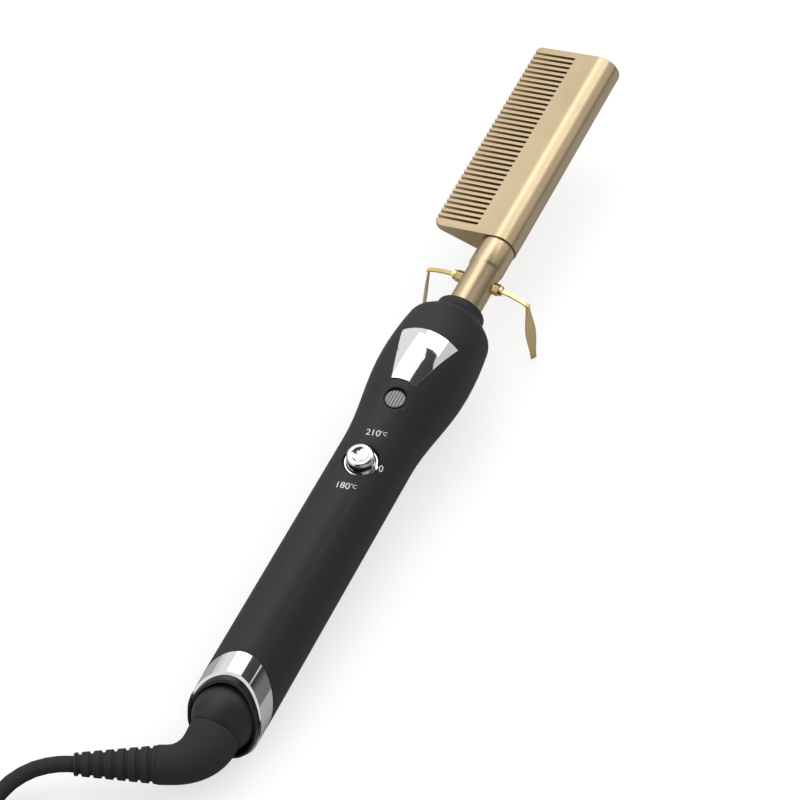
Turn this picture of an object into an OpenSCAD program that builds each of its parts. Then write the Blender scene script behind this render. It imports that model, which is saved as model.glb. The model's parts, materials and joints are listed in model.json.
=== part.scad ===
// Heated styling comb: a gold comb head on a steel neck, a round black handle with a rotary
// heat switch and a pilot lamp, a two-legged folding stand and a cord on a swivel.
// In its own frame the comb lies along Y: y = 0 is a datum at the tail, the head is at +Y,
// the teeth point to -X and the knob looks to +Z. placed() leans it on its stand.
// The finished part rests on z = 0 with its origin under the middle of its box.

/* [Handle] */
// Radius of the handle at its tail
tail_r = 15; // [14:0.1:17]
// Radius of the handle at its waist
waist_r = 14.7; // [14:0.1:16.5]
// Distance of the waist from the tail
waist_y = 112; // [108:1:116]
// Radius of the handle at its swelling
bulge_r = 19; // [18:0.05:20]
// Distance of the swelling from the tail
bulge_y = 153.4; // [151:0.2:156]
// Loss of radius from the swelling to the shoulder
bulge_fall = 1.7; // [1.2:0.1:2.2]
// Distance of the shoulder from the tail
shoulder_y = 173.9; // [172:0.1:176]
// Rounding of the shoulder
shoulder_round = 7.6; // [6.5:0.1:8.5]
// Slope of the shoulder in degrees
shoulder_slope = 45; // [42:1:49]
// Radius of the collar round the neck
collar_r = 10; // [9.6:0.05:10.6]
// Distance of the end of the collar from the tail
collar_y = 187; // [186.4:0.1:189]
// Rounding of the mouth of the collar
collar_round = 1.6; // [1:0.1:1.8]
// Wall of the two shells
wall = 2.2; // [1.8:0.1:2.6]
// Radius of the screw posts inside the shells
post_r = 2.6; // [2.3:0.1:2.65]

/* [Tail] */
// Where the tail edge of the ring crosses the axis
ring_y = -12.1; // [-14:0.1:-10]
// Length of the ring along the axis
ring_len = 9.1; // [7:0.1:11]
// Wall of the ring
ring_wall = 1; // [0.8:0.1:1.2]
// Inset of the ring from the handle
ring_inset = 0.1; // [0:0.05:0.3]
// Radius of the scooped end of the tail
scoop_r = 63.4; // [56:0.1:72]
// Slant of the scooped end at the axis in degrees
scoop_slant = 30; // [26:1:34]
// Wall of the end cap
cap_wall = 0.95; // [0.8:0.05:1.1]
// Length of the lip of the end cap past the ring
lip_len = 1.9; // [1.5:0.1:3]
// Thickness of the floor of the end cap
cap_floor = 2.5; // [2:0.1:3]

/* [Swivel] */
// Radius of the swivel ball
ball_r = 12.6; // [12:0.1:12.65]
// Distance of the centre of the ball behind the datum
ball_y = -10.5; // [-11.5:0.1:-10]
// Radius of the hollow hub that the ball turns on
hub_r = 5; // [4.5:0.1:5.5]
// Radius of the cord boot where it leaves the ball
boot_r = 9.9; // [9.4:0.1:10.4]
// Radius of the cord boot at its cord end
boot_end_r = 7.3; // [6.8:0.1:8]
// Bend radius of the boot along its middle
boot_bend_r = 16; // [15:0.5:20]
// Angle that the boot turns through
boot_bend = 65.7; // [60:0.1:72]
// Straight length of the boot after its bend
boot_run = 4; // [3:0.5:8]
// Length of the ribbed strain relief
relief_len = 30; // [26:1:36]
// Radius of the strain relief at the cord
relief_r = 4.2; // [4:0.1:4.8]
// Number of grooves in the strain relief
relief_grooves = 7; // [5:1:8]

/* [Heat switch and lamp] */
// Distance of the knob from the tail
knob_y = 100.2; // [98:0.2:102]
// Radius of the skirt of the knob
knob_r = 6.6; // [6:0.1:7]
// Radius of the cap of the knob
knob_cap_r = 5.35; // [4.8:0.05:5.6]
// Height of the knob above its well
knob_h = 6.2; // [5:0.1:7]
// Depth of the knob well below the surface
well_depth = 3.2; // [2.8:0.1:3.6]
// Radius of the switch shaft
shaft_r = 2; // [1.8:0.1:2.4]
// Distance of the pilot lamp from the tail
lamp_y = 129.5; // [128.5:0.1:130.5]
// Radius of the lamp lens
lens_r = 4.1; // [3.8:0.1:4.4]
// Depth of the lens below the surface
lens_depth = 0.7; // [0.4:0.1:1]

/* [Inlay] */
// Distance of the near edge of the inlay from the lamp
inlay_near = 8; // [7.5:0.5:9]
// Distance of the far edge of the inlay from the lamp
inlay_far = 32; // [28:1:36]
// Half of the spread of the inlay in degrees
inlay_spread = 16.5; // [14:0.5:18]
// Distance of the focus of the fan of the inlay behind the lamp
inlay_focus = 10; // [8:0.5:12]
// Thickness of the inlay
inlay_t = 1.2; // [1:0.1:1.4]
// Height of the inlay above the handle
inlay_proud = 0.4; // [0.2:0.1:0.6]

/* [Neck] */
// Radius of the neck tube at the handle
neck_r = 6.8; // [6.6:0.05:7]
// Radius of the neck tube at the head
neck_head_r = 7.3; // [7.1:0.05:7.5]
// Wall of the neck tube
neck_wall = 1; // [0.9:0.05:1.1]
// Distance of the inner end of the neck tube from the tail
neck_y = 150; // [148:1:152]
// Width of the dark gap between the neck and the head
neck_gap = 0.7; // [0.4:0.1:1]

/* [Head] */
// Distance of the near end of the head from the tail
head_y = 220.3; // [218:0.1:224]
// Length of the head
head_len = 100.9; // [92:0.1:112]
// Radius of the round spine of the head
spine_r = 7.75; // [7.6:0.05:8.4]
// Reach of the teeth from the axis
teeth_reach = 29; // [26:0.5:32]
// Half of the thickness of the tips of the teeth
tip_t = 0.75; // [0.6:0.05:1]
// Number of slots between the teeth
slot_count = 36; // [30:1:38]
// Width of a slot
slot_w = 1.15; // [1:0.05:1.3]
// Distance of the slots from the axis
slot_x = 11.3; // [10.5:0.1:13]
// Distance of the first slot from the near end of the head
slot_near = 4.3; // [3.5:0.1:5]
// Distance of the last slot from the far end of the head
slot_far = 3.7; // [3:0.1:5]
// Depth of the bore that takes the neck
head_bore = 20; // [16:1:24]
// Radius of the bore that takes the heater
heater_bore = 5.2; // [4.8:0.1:5.5]

/* [Stand] */
// Height of the pivots of the stand above the table
stand_h = 33.2; // [31:0.1:36]
// Distance of the pivots from the tail
pivot_y = 201.6; // [199:0.1:206]
// Reach of a boss from the axis
boss_x = 9.2; // [8.8:0.1:10]
// Width of a boss across its flats
boss_flats = 4.3; // [4.1:0.1:4.8]
// Radius of the pivot pins
pin_r = 1.3; // [1.1:0.05:1.5]
// Reach of the bend of a leg from the axis
knee_x = 21.5; // [19:0.5:24]
// Drop of the arm of a leg
knee_drop = 2.8; // [2:0.1:4]
// Reach of a foot from the axis
foot_x = 24.8; // [23:0.1:27]
// Thickness of the strip of a leg
strip_t = 0.8; // [0.7:0.1:1.1]
// Width of the arm of a leg
arm_w = 1.8; // [1.8:0.1:2.4]
// Turn of the strip of a leg about its length in degrees
leg_twist = 30; // [20:1:35]
// Width of a leg at its bend
knee_w = 1.5; // [1.3:0.1:1.6]
// Greatest width of a leg
spoon_w = 4.6; // [3.8:0.1:5.4]
// Width of a foot
foot_w = 2.4; // [2.2:0.1:3]

/* [Cord] */
// Diameter of the cord
cord_d = 6; // [5.6:0.1:6.2]
// Length of a straight run of the bundled cord
hank_run = 90; // [90:1:110]
// Radius of the innermost fold of the bundled cord
hank_fold = 18; // [18:0.5:20]
// Step between neighbouring turns
hank_step = 7; // [6.9:0.1:7.4]
// Rise from the lower to the upper layer
hank_rise = 6.8; // [6.6:0.1:7.2]
// Pull of the tie on each run at the waist
hank_pull = 10; // [8:0.5:10.5]
// Number of turns of the bundled cord
hank_turns = 5.25; // [4.25:1:5.25]
// Thickness of the tie round the bundle
tie_t = 1; // [0.8:0.1:1.2]
// Width of the tie
tie_w = 9; // [6:1:12]

/* [Plug] */
// Diameter of a plug pin
plug_pin_d = 4; // [3.8:0.1:4.2]
// Length of a plug pin
plug_pin_len = 19; // [18:0.5:20]
// Distance between the plug pins
plug_pitch = 19; // [18:0.1:20]
// Width of the plug body
plug_w = 35; // [33:0.5:37]
// Thickness of the plug body
plug_t = 13.6; // [13:0.1:15]
// Length of the plug body
plug_len = 26; // [24:0.5:30]

/* [Fits] */
// Clearance of pieces that are seated in each other
seat = 0.05; // [0.03:0.01:0.08]
// Running clearance of shafts and pins
run_fit = 0.05; // [0.03:0.01:0.09]
// Gap between pieces that pass each other
pass_gap = 0.3; // [0.25:0.05:0.4]

/* [Hidden] */
$fn = 96;

// How far cutting shapes reach past what they cut
over = 1;
// Radius of the clear space round the handle that cutting shapes span
clear_r = 1.5 * bulge_r;

// Handle
ring_r = tail_r - ring_inset;
cap_r = ring_r - ring_wall - seat;
cap_inner_r = cap_r - cap_wall;
socket_r = cap_r + seat;
socket_y = 12.3;
collar_bore = neck_r + 0.9;
shoulder_dr = bulge_r - bulge_fall;
shoulder_tilt = atan(2 * bulge_fall / (shoulder_y - bulge_y));
shoulder_c = [
    shoulder_dr - shoulder_round * cos(shoulder_tilt),
    shoulder_y - shoulder_round * sin(shoulder_tilt)
];
slope_start = [
    shoulder_c.x + shoulder_round * cos(shoulder_slope),
    shoulder_c.y + shoulder_round * sin(shoulder_slope)
];
slope_end_y = slope_start.y + (slope_start.x - collar_r) / tan(shoulder_slope);
collar_blend = 2.5;
blend_len = collar_blend * tan(shoulder_slope / 2);

// Radius of the outside of the handle at a distance from the tail, up to the shoulder
function handle_r(y) =
    y < 0 ? tail_r :
    y < waist_y ? tail_r + (waist_r - tail_r) * y / waist_y :
    y < bulge_y ? waist_r + (bulge_r - waist_r) * (1 - cos(180 * (y - waist_y) / (bulge_y - waist_y))) / 2 :
    bulge_r - bulge_fall * pow((y - bulge_y) / (shoulder_y - bulge_y), 2);

// Points of an arc as radius and height, from one angle to another
function arc(centre, radius, from, to, steps) = [
    for (i = [0 : steps])
        let (a = from + (to - from) * i / steps)
            [centre.x + radius * cos(a), centre.y + radius * sin(a)]
];

handle_start = -30;
barrel_ys = concat(
    [handle_start, 0],
    [for (i = [0 : 8]) waist_y + (bulge_y - waist_y) * i / 8],
    [for (i = [1 : 4]) bulge_y + (shoulder_y - bulge_y) * i / 4]
);
barrel = [for (y = barrel_ys) [handle_r(y), y]];
shoulder = arc(shoulder_c, shoulder_round, shoulder_tilt, shoulder_slope, 5);
blend = arc([collar_r + collar_blend, slope_end_y + blend_len], collar_blend, 180 + shoulder_slope, 180, 4);
mouth = arc([collar_r - collar_round, collar_y - collar_round], collar_round, 0, 90, 4);
handle_outline = concat([[0, handle_start]], barrel, shoulder, blend, mouth, [[0, collar_y]]);
cavity_end_y = shoulder_y - 2;
bore_y = cavity_end_y + 8;
cavity_ys = [
    for (y = concat([socket_y], barrel_ys))
        if (y >= socket_y && y <= cavity_end_y) y
];
cavity_outline = concat(
    [[0, handle_start - over], [socket_r, handle_start - over], [socket_r, socket_y]],
    [for (y = cavity_ys) [handle_r(y) - wall, y]],
    [
        [handle_r(cavity_end_y) - wall, cavity_end_y],
        [collar_bore, bore_y],
        [collar_bore, collar_y + over],
        [0, collar_y + over]
    ]
);

// Neck mount and the ribs that hold it
mount_y = 162;
mount_len = 6;
mount_r = min(handle_r(mount_y), handle_r(mount_y + mount_len)) - wall - seat;
rib_len = 1.2;
rib_reach = 1.6;

// Posts and screws of the shells
screw_ys = [30, 143];
screw_r = 1.2;
screw_head_r = 2.1;
screw_head_h = 1.5;
screw_sink = 3;
screw_bite = 7;
post_root_r = 3.4;
post_root_z = 8;
pilot_r = screw_r + seat;

// Control board
board_top = -2;
board_t = 1.6;
board_w = 22;
board_start = 62;
board_end = 138;
board_screw_x = 7.5;
board_screw_ys = [68, 118];
board_post_r = 2.5;
board_screw_r = 0.95;
board_bite = 4;
board_head_r = 1.9;
board_head_h = 1;

// Parts on the board: places from the middle of its start, and sizes
relay_place = [-7.5, 12];
relay_size = [7, 11, 8];
filter_place = [3, 14];
filter_size = [4.5, 10, 6.5];
chip_place = [2.5, 47.5];
chip_size = [3, 5, 5.5];
can_place = [-5, 50];
can_r = 2.5;
can_h = 7;

// Knob well, switch and knob
well_r = knob_r + 0.6;
well_wall = 1.8;
well_floor = 1.5;
well_z = handle_r(knob_y) - well_depth;
switch_w = 13;
bushing_r = shaft_r + 1.5;
bushing_hole_r = bushing_r + 0.1;
bushing_end = well_z - 0.3;
switch_top = well_z - well_floor - 0.5;
shaft_start = 1.3;
knob_z = well_z + pass_gap;
knob_top = knob_z + knob_h;
shaft_end = knob_top - 2.6;
skirt_h = 1.1;
skirt_edge = 0.3;
cap_foot = 0.5;
cap_edge = 1.2;
dish_depth = 0.6;
dish_r = knob_cap_r - 1.95;
nose_w = 1.6;
nose_reach = knob_r + 0.3;

// Pilot lamp
lens_top = handle_r(lamp_y) - lens_depth;
lens_recess_r = lens_r + 0.5;
lens_recess = 0.6;
lamp_cup_r = lens_r + 2.2;
lamp_cup_z = handle_r(lamp_y) - wall - 1.9;
lens_flange_r = lens_r + 1.1;
lens_flange_h = 1;
holder_r = 4;
holder_bore = 2.9;
bulb_z = board_top + 1.5;
bulb_r = 2.4;
bulb_h = 9;

// Neck and head
neck_inner_r = neck_r - neck_wall;
flare_y = 207;
flare_len = 2;
spigot_r = neck_inner_r + 0.7;
spigot_end = head_y + head_bore - 0.5;
neck_head_y = head_y - neck_gap;
head_end_y = head_y + head_len;
flank_inset = 0.06;
flank_angle = asin((spine_r - flank_inset) / norm([teeth_reach, tip_t])) - atan(tip_t / teeth_reach);
flank_foot = (spine_r - flank_inset) * [-sin(flank_angle), cos(flank_angle)];
slot_span = head_len - slot_near - slot_far;
near_corner_r = 4;
far_corner_r = 2;

// Heater
heater_y = head_y + head_bore + 4;
heater_end = head_end_y - 7;
sleeve_r = heater_bore - 0.1;
core_r = sleeve_r - 1.5;
core_end = heater_end - 0.5;
bead_len = 6;
bead_r = sleeve_r;
bead_y = heater_y - bead_len;
lead_r = 0.7;
lead_x = 3.5;
lead_z = board_top - 0.9;
fuse_r = 1.5;
fuse_z = 2.6;
fuse_len = 11;
fuse_end = bead_y + 0.4;

// Tail
cap_end = socket_y - 0.3;
cap_floor_y = ball_y + ball_r + 0.9;
hub_flange_r = hub_r + 3;
hub_flange_t = 1.5;
hub_flange_y = cap_floor_y + cap_floor + pass_gap;
hub_bore = 2.2;
hub_start = ball_y + 2.5;
hub_end = hub_flange_y + hub_flange_t + 8.6;
slip_r = hub_r + 1.2;
slip_len = 2;
slip_ys = [hub_end - 7.4, hub_end - 3.8];
carrier_y = hub_end + 1.5;
carrier_t = 2;
carrier_r = handle_r(carrier_y) - wall - 0.1;
spring_w = 3;
spring_t = 0.5;
mains_x = 6;
mains_r = 0.8;

// Boot and strain relief, in the comb's own frame
boot_y = ball_y - sqrt(ball_r * ball_r - boot_r * boot_r);
boot_neck = 3.7;
bend_c = [-boot_bend_r, boot_y - boot_neck];
bend_end = [bend_c.x + boot_bend_r * cos(boot_bend), bend_c.y - boot_bend_r * sin(boot_bend)];
cord_dir = [-sin(boot_bend), -cos(boot_bend)];
boot_end = bend_end + boot_run * cord_dir;
relief_end = boot_end + relief_len * cord_dir;
boot_steps = 12;
boot_line = concat(
    [[0, boot_y, 0]],
    [
        for (i = [0 : boot_steps])
            let (a = boot_bend * i / boot_steps)
                [bend_c.x + boot_bend_r * cos(a), bend_c.y - boot_bend_r * sin(a), 0]
    ],
    [[boot_end.x, boot_end.y, 0]]
);
boot_radii = [
    for (i = [0 : boot_steps + 2])
        let (u = i / (boot_steps + 2))
            boot_r + (boot_end_r - boot_r) * (1 - cos(180 * u)) / 2
];
groove_w = 1.6;
groove_depth = 0.9;
groove_start = 0.35;
relief_root_r = boot_end_r - 0.3;

// Lean of the comb on its stand, and the place of its origin
rest_z = -ring_r;
scoop_c = [ring_y + scoop_r * cos(scoop_slant), -scoop_r * sin(scoop_slant)];
rest_y = scoop_c.x - sqrt(scoop_r * scoop_r - pow(rest_z - scoop_c.y, 2));
pivot_far = norm([pivot_y - rest_y, rest_z]);
lean = asin(stand_h / pivot_far) - atan(-rest_z / (pivot_y - rest_y));
lift = -rest_z * cos(lean) - rest_y * sin(lean);
box_x = [-teeth_reach, foot_x + foot_w / 2 * sin(leg_twist) + strip_t / 2 * cos(leg_twist)];
box_y = [boot_end.y * cos(lean) - boot_end_r * sin(boot_bend), head_end_y * cos(lean) + spine_r * sin(lean)];
mid_x = (box_x[0] + box_x[1]) / 2;
mid_y = (box_y[0] + box_y[1]) / 2;
pivot_world_y = pivot_y * cos(lean) - mid_y;

// A point of the comb's own frame, seen from the origin of the part
function world(p) = [
    p.x - mid_x,
    p.y * cos(lean) - p.z * sin(lean) - mid_y,
    p.y * sin(lean) + p.z * cos(lean) + lift
];

// Stand
boss_root = neck_inner_r + 0.5;
hub_disc_r = 2;
hub_disc_x = boss_x + pass_gap;
clip_r = 2.1;
clip_t = 0.9;
clip_x = neck_inner_r - pass_gap - clip_t - 0.15;
pin_end = clip_x - 0.2;
arm_x = hub_disc_x + 1;
arm_steps = 7;
arm_len = knee_x + strip_t - hub_disc_x;
leg_steps = 12;

// Height of the arm of a leg at a distance from the axis
function arm_z(x) = stand_h - knee_drop * pow((x - hub_disc_x) / (knee_x - hub_disc_x), 2);

arm_line = [for (i = [0 : arm_steps]) let (x = hub_disc_x + arm_len * i / arm_steps) [x, arm_z(x)]];
arm_side = concat(
    [for (p = arm_line) p + [0, strip_t / 2]],
    [for (i = [arm_steps : -1 : 0]) arm_line[i] - [0, strip_t / 2]]
);

// Half of the width of a leg at a share of the way down from its bend
function leg_half(u) =
    (knee_w + (foot_w - knee_w) * u) / 2 + (spoon_w - (knee_w + foot_w) / 2) / 2 * pow(sin(180 * u), 2);

strip_out = strip_t / 2 * [cos(leg_twist), -sin(leg_twist), 0];
strip_side = [sin(leg_twist), cos(leg_twist), 0];
leg_rings = [
    for (i = [0 : leg_steps])
        let (
            u = i / leg_steps,
            middle = [knee_x + (foot_x - knee_x) * u, 0, (stand_h - knee_drop) * (1 - u)],
            side = leg_half(u) * strip_side
        )
            [middle + strip_out + side, middle - strip_out + side, middle - strip_out - side, middle + strip_out - side]
];

// Cord: the points of the free stretches are chosen by hand, seen from below the end of the strain relief
cord_r = cord_d / 2;
relief_world = world([relief_end.x, relief_end.y, 0]);
relief_heading = world([relief_end.x + cord_dir.x, relief_end.y + cord_dir.y, 0]) - relief_world;
cord_at = [relief_world.x, relief_world.y, 0];
hank_x = cord_at.x + 15.2;
hank_y = cord_at.y - 97.8;
hank_z = tie_t + cord_r + 0.1;
lead_steps = [[-12.7, -7.3, 10.5], [-18.2, -14.8, 8.7], [-20.7, -23.8, 6.7], [-21.2, -32.8, 5]];
lead_points = [for (p = lead_steps) cord_at + p];

// Bundled cord: turns spiral in on the lower layer and out again on the upper one
hank_reverse = hank_turns / 2;
hank_outer = hank_fold + hank_step * hank_reverse;
hank_half = hank_run / 2;
hank_rings = 24;
function hank_radius(turn) = hank_fold + hank_step * abs(turn - hank_reverse);
function hank_height(turn) =
    let (u = min(1, max(0, 4 * (turn - hank_reverse) + 0.5)))
        hank_z + hank_rise * (1 - cos(180 * u)) / 2;
function hank_waist(y) = hank_pull * (1 + cos(180 * y / hank_half)) / 2;
function hank_point(turn) =
    let (
        r = hank_radius(turn),
        part = turn - floor(turn),
        s = 4 * (part - floor(part * 4) / 4),
        run_y = hank_half * (1 - 2 * s),
        quarter = floor(part * 4),
        local =
            quarter == 0 ? [-(r - hank_waist(run_y)), run_y] :
            quarter == 1 ? [-r * cos(180 * s), -hank_half - r * sin(180 * s)] :
            quarter == 2 ? [r - hank_waist(-run_y), -run_y] :
            [r * cos(180 * s), hank_half + r * sin(180 * s)]
    )
        [hank_x + local.x, hank_y + local.y, hank_height(turn)];
hank_turn_line = [for (i = [0 : hank_turns * hank_rings]) hank_point(i / hank_rings)];
hank_last = hank_turn_line[len(hank_turn_line) - 1];
hank_start = hank_turn_line[0] + [0, cord_d, 0];
hank_end = hank_last - [0, cord_d, 0];
hank_line = concat([hank_start], hank_turn_line, [hank_end]);

// Plug
plug_at = cord_at + [0.8, -212.8, plug_t / 2];
plug_tail = 12;
plug_tail_r = 4.6;
plug_tail_end_r = 3.6;
plug_corner = 3;
plug_steps = [
    [-20.7, -158.8, 10.2], [-18.2, -168.8, 9.3], [-13.2, -178.8, 8.4], [-7.2, -188.8, 7.6], [-2.2, -197.8, 7]
];
plug_points = [for (p = plug_steps) cord_at + p];

module rod(from, to, r, x = 0, z = 0) {
    translate([x, from, z]) rotate([-90, 0, 0]) cylinder(h = to - from, r = r);
}

module pipe(from, to, outer, inner) {
    difference() {
        rod(from, to, outer);
        rod(from - over, to + over, inner);
    }
}

module across(from, to, r, y = 0, z = 0) {
    translate([from, y, z]) rotate([0, 90, 0]) cylinder(h = to - from, r = r);
}

module upright(from, to, r, x, y) {
    translate([x, y, from]) cylinder(h = to - from, r = r);
}

module turned(outline) {
    rotate([-90, 0, 0]) rotate_extrude() polygon(outline);
}

// A solid with a flat end at its first and its last ring of points
module skin(rings) {
    last = len(rings) - 1;
    sides = len(rings[0]);
    walls = [
        for (i = [0 : last - 1])
            for (k = [0 : sides - 1])
                let (a = i * sides + k, b = i * sides + (k + 1) % sides)
                    each [[a, b, a + sides], [b, b + sides, a + sides]]
    ];
    near = [for (k = [1 : sides - 2]) [0, k + 1, k]];
    far = [for (k = [1 : sides - 2]) [last * sides, last * sides + k, last * sides + k + 1]];
    polyhedron([for (ring = rings) each ring], concat(near, walls, far), convexity = 10);
}

// A tube along a line of points, of one radius or of one radius for each point
module sweep(line, radii, sides) {
    last = len(line) - 1;
    skin([
        for (i = [0 : last])
            let (
                ahead = line[min(i + 1, last)] - line[max(i - 1, 0)],
                heading = ahead / norm(ahead),
                side = cross(heading, [0, 0, 1]) / norm(cross(heading, [0, 0, 1])),
                up = cross(side, heading),
                r = is_list(radii) ? radii[i] : radii
            )
                [
                    for (k = [0 : sides - 1])
                        let (a = 360 * (k + 0.5) / sides) line[i] + r * (cos(a) * side + sin(a) * up)
                ]
    ]);
}

module placed() {
    translate([-mid_x, -mid_y, lift]) rotate([lean, 0, 0]) children();
}

module front_half() {
    translate([-clear_r, handle_start, 0]) cube([2 * clear_r, collar_y - handle_start + over, clear_r]);
}

module back_half() {
    translate([-clear_r, handle_start, -clear_r]) cube([2 * clear_r, collar_y - handle_start + over, clear_r]);
}

// What the slanted, scooped end takes off the tail
module tail_waste(shift) {
    translate([0, ring_y + shift, 0]) difference() {
        translate([-clear_r, -3 * clear_r, -clear_r]) cube([2 * clear_r, 4 * clear_r, 2 * clear_r]);
        translate([0, scoop_r * cos(scoop_slant), -scoop_r * sin(scoop_slant)])
            rotate([0, 90, 0]) cylinder(h = 2 * clear_r + 2 * over, r = scoop_r, center = true, $fn = 180);
    }
}

module shell_wall() {
    difference() {
        turned(handle_outline);
        turned(cavity_outline);
    }
    for (y = [mount_y - rib_len - seat, mount_y + mount_len + seat])
        pipe(y, y + rib_len, handle_r(y) - wall / 2, mount_r - rib_reach);
}

// A fan-shaped prism that opens towards the head
module fan_prism(grow) {
    side = 2 * clear_r * [sin(inlay_spread), cos(inlay_spread)];
    translate([0, lamp_y - inlay_focus, 0]) intersection() {
        difference() {
            upright(0, clear_r, inlay_focus + inlay_far + grow, 0, 0);
            upright(-over, clear_r + over, inlay_focus + inlay_near - grow, 0, 0);
        }
        linear_extrude(clear_r)
            polygon([[-grow, 0], [-grow - side.x, side.y], [grow + side.x, side.y], [grow, 0]]);
    }
}

// The barrel of the handle, grown or shrunk
module barrel_solid(grow) {
    turned(concat(
        [[0, waist_y]],
        [for (p = barrel) if (p.y >= waist_y) p + [grow, 0]],
        [[shoulder_dr + grow, shoulder_y], [0, shoulder_y]]
    ));
}

module front_shell() {
    color([0.16, 0.16, 0.17]) placed() difference() {
        union() {
            intersection() {
                shell_wall();
                front_half();
            }
            intersection() {
                union() {
                    for (y = screw_ys) upright(0, clear_r, post_r, 0, y);
                    upright(well_z - well_floor, clear_r, well_r + well_wall, 0, knob_y);
                    upright(lamp_cup_z, clear_r, lamp_cup_r, 0, lamp_y);
                }
                turned([for (p = handle_outline) [max(0, p.x - wall / 2), p.y]]);
            }
        }
        for (y = screw_ys) upright(-over, screw_bite + pass_gap, pilot_r, 0, y);
        upright(well_z, clear_r, well_r, 0, knob_y);
        upright(0, clear_r, bushing_hole_r, 0, knob_y);
        upright(lens_top - lens_recess, clear_r, lens_recess_r, 0, lamp_y);
        upright(0, clear_r, lens_r + seat, 0, lamp_y);
        difference() {
            fan_prism(seat);
            barrel_solid(inlay_proud - inlay_t);
        }
        tail_waste(ring_len);
    }
}

module back_shell() {
    color([0.15, 0.15, 0.16]) placed() difference() {
        union() {
            intersection() {
                shell_wall();
                back_half();
            }
            intersection() {
                union() {
                    for (y = screw_ys) upright(-clear_r, 0, post_r, 0, y);
                    for (y = screw_ys) upright(-clear_r, -post_root_z, post_root_r, 0, y);
                    for (x = [-board_screw_x, board_screw_x])
                        for (y = board_screw_ys)
                            upright(-clear_r, board_top - board_t, board_post_r, x, y);
                }
                turned([for (p = handle_outline) [max(0, p.x - wall / 2), p.y]]);
            }
        }
        for (y = screw_ys) {
            upright(-clear_r, over, screw_r + 2 * seat, 0, y);
            upright(-clear_r, screw_sink - handle_r(y) + screw_head_h, screw_head_r + 2 * seat, 0, y);
        }
        for (x = [-board_screw_x, board_screw_x])
            for (y = board_screw_ys)
                upright(board_top - board_t - board_bite - pass_gap, 0, board_screw_r + seat, x, y);
        tail_waste(ring_len);
    }
}

module heat_ring() {
    color([0.35, 0.16, 0.12]) placed() pipe(bore_y, collar_y + pass_gap, collar_bore - seat, neck_r + seat);
}

module neck_mount() {
    color([0.75, 0.72, 0.66]) placed() pipe(mount_y, mount_y + mount_len, mount_r, neck_r + seat);
}

module neck_tube() {
    color([0.83, 0.74, 0.58]) placed() difference() {
        turned([
            [0, neck_y], [neck_r, neck_y], [neck_r, flare_y], [neck_head_r, flare_y + flare_len],
            [neck_head_r, neck_head_y], [spigot_r, neck_head_y],
            [spigot_r, spigot_end], [0, spigot_end]
        ]);
        rod(neck_y - over, spigot_end + over, neck_inner_r);
        across(-clear_r, clear_r, pin_r + run_fit, pivot_y);
    }
}

module comb_head() {
    color([0.83, 0.74, 0.58]) placed() difference() {
        union() {
            rod(head_y, head_end_y, spine_r);
            translate([0, head_end_y, 0]) rotate([90, 0, 0]) linear_extrude(head_len) polygon([
                [-teeth_reach, -tip_t], [-teeth_reach, tip_t],
                flank_foot, [flank_foot.x, -flank_foot.y]
            ]);
        }
        for (i = [0 : slot_count - 1])
            translate([-slot_x, head_y + slot_near + slot_span * i / (slot_count - 1), -clear_r]) {
                cylinder(h = 2 * clear_r, d = slot_w, $fn = 24);
                translate([-2 * teeth_reach, -slot_w / 2, 0]) cube([2 * teeth_reach, slot_w, 2 * clear_r]);
            }
        rod(head_y - over, head_y + head_bore, spigot_r + seat);
        rod(head_y, heater_end + pass_gap, heater_bore);
        corner_waste(head_y, 1, near_corner_r);
        corner_waste(head_end_y, -1, far_corner_r);
    }
}

// What rounding takes off a corner of the row of teeth
module corner_waste(y, way, r) {
    translate([-teeth_reach, y, 0]) difference() {
        translate([-over, way > 0 ? -over : -r, -spine_r]) cube([r + over, r + over, 2 * spine_r]);
        translate([r, way * r, -spine_r - over]) cylinder(h = 2 * spine_r + 2 * over, r = r);
    }
}

module heater_core() {
    color([0.93, 0.92, 0.88]) placed() rod(heater_y, core_end, core_r);
}

module heater_sleeve() {
    color([0.7, 0.7, 0.72]) placed() pipe(heater_y, heater_end, sleeve_r, core_r + seat);
}

module heater_bead() {
    color([0.95, 0.94, 0.9]) placed() difference() {
        rod(bead_y, heater_y, bead_r);
        rod(bead_y - over, fuse_end, fuse_r + seat, 0, fuse_z);
    }
}

module heater_leads() {
    color([0.9, 0.9, 0.88]) placed() for (x = [-lead_x, lead_x]) rod(board_end, bead_y, lead_r, x, lead_z);
}

module thermal_fuse() {
    color([0.8, 0.8, 0.82]) placed() rod(fuse_end - fuse_len, fuse_end, fuse_r, 0, fuse_z);
}

module control_board() {
    color([0.1, 0.42, 0.22]) placed() difference() {
        translate([-board_w / 2, board_start, board_top - board_t]) cube([board_w, board_end - board_start, board_t]);
        for (x = [-board_screw_x, board_screw_x])
            for (y = board_screw_ys)
                upright(board_top - 2 * board_t, 0, board_screw_r + seat, x, y);
    }
}

module board_parts() {
    color([0.75, 0.55, 0.15]) placed() translate([0, board_start, board_top]) {
        translate(relay_place) cube(relay_size);
        translate(filter_place) cube(filter_size);
        translate(chip_place) cube(chip_size);
        upright(0, can_h, can_r, can_place.x, can_place.y);
    }
}

module board_screws() {
    color([0.78, 0.78, 0.8]) placed() for (x = [-board_screw_x, board_screw_x])
        for (y = board_screw_ys) {
            upright(board_top - board_t - board_bite, board_top, board_screw_r, x, y);
            upright(board_top, board_top + board_head_h, board_head_r, x, y);
        }
}

module shell_screws() {
    color([0.78, 0.78, 0.8]) placed() for (y = screw_ys) {
        upright(screw_sink - handle_r(y), screw_bite, screw_r, 0, y);
        upright(screw_sink - handle_r(y), screw_sink - handle_r(y) + screw_head_h, screw_head_r, 0, y);
    }
}

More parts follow.
